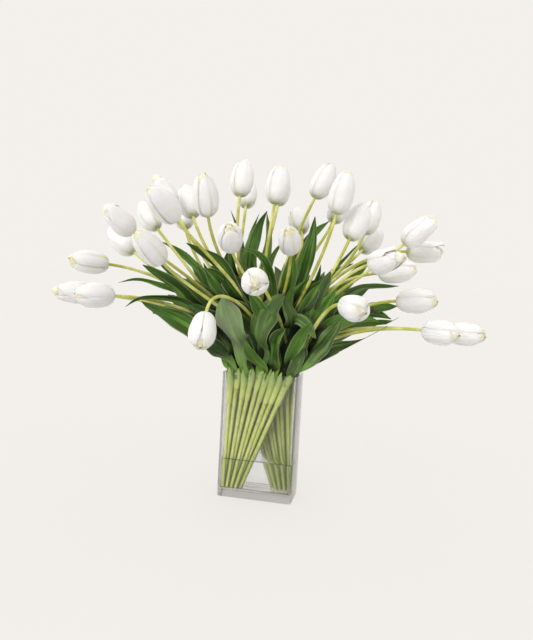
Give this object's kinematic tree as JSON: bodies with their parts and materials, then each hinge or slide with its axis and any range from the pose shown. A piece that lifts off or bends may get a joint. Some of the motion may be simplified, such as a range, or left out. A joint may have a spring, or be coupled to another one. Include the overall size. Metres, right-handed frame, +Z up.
{
  "type": "white tulips in a glass vase",
  "caption": "Full spreading bouquet of white tulips with long green leaves, standing in a clear rectangular glass vase of water.",
  "frame": {"origin": "centre of the vase's underside, on the surface it stands on", "axes": "+Z up; the vase's wide faces towards -Y (front) and +Y; +X to the right seen from the front, the way the bouquet spreads widest"},
  "size_m": [0.6626, 0.3906, 0.5431],
  "materials": {
    "glass": "clear polished glass",
    "water": "still clear water",
    "petal": "soft satin white petal",
    "green": "waxy green leaf and stem"
  },
  "bodies": {
    "root": {"vase": "glass", "water": "water", "bloom_01": "petal", "bloom_02": "petal", "bloom_03": "petal", "bloom_04": "petal", "bloom_05": "petal", "bloom_06": "petal", "bloom_07": "petal", "bloom_08": "petal", "bloom_09": "petal", "bloom_10": "petal", "bloom_11": "petal", "bloom_12": "petal", "bloom_13": "petal", "bloom_14": "petal", "bloom_15": "petal", "bloom_16": "petal", "bloom_17": "petal", "bloom_18": "petal", "bloom_19": "petal", "bloom_20": "petal", "bloom_21": "petal", "bloom_22": "petal", "bloom_23": "petal", "bloom_24": "petal", "bloom_25": "petal", "bloom_26": "petal", "bloom_27": "petal", "bloom_28": "petal", "bloom_29": "petal", "bloom_30": "petal", "bloom_31": "petal", "bloom_32": "petal", "bloom_33": "petal", "bloom_34": "petal", "bloom_35": "petal", "bloom_36": "petal", "stems_01": "green", "stems_02": "green", "stems_03": "green", "stems_04": "green", "stems_05": "green", "stems_06": "green", "stems_07": "green", "stems_08": "green", "stems_09": "green", "stems_10": "green", "stems_11": "green", "stems_12": "green", "stems_13": "green", "stems_14": "green", "stems_15": "green", "stems_16": "green", "stems_17": "green", "stems_18": "green"}
  },
  "joints": []
}
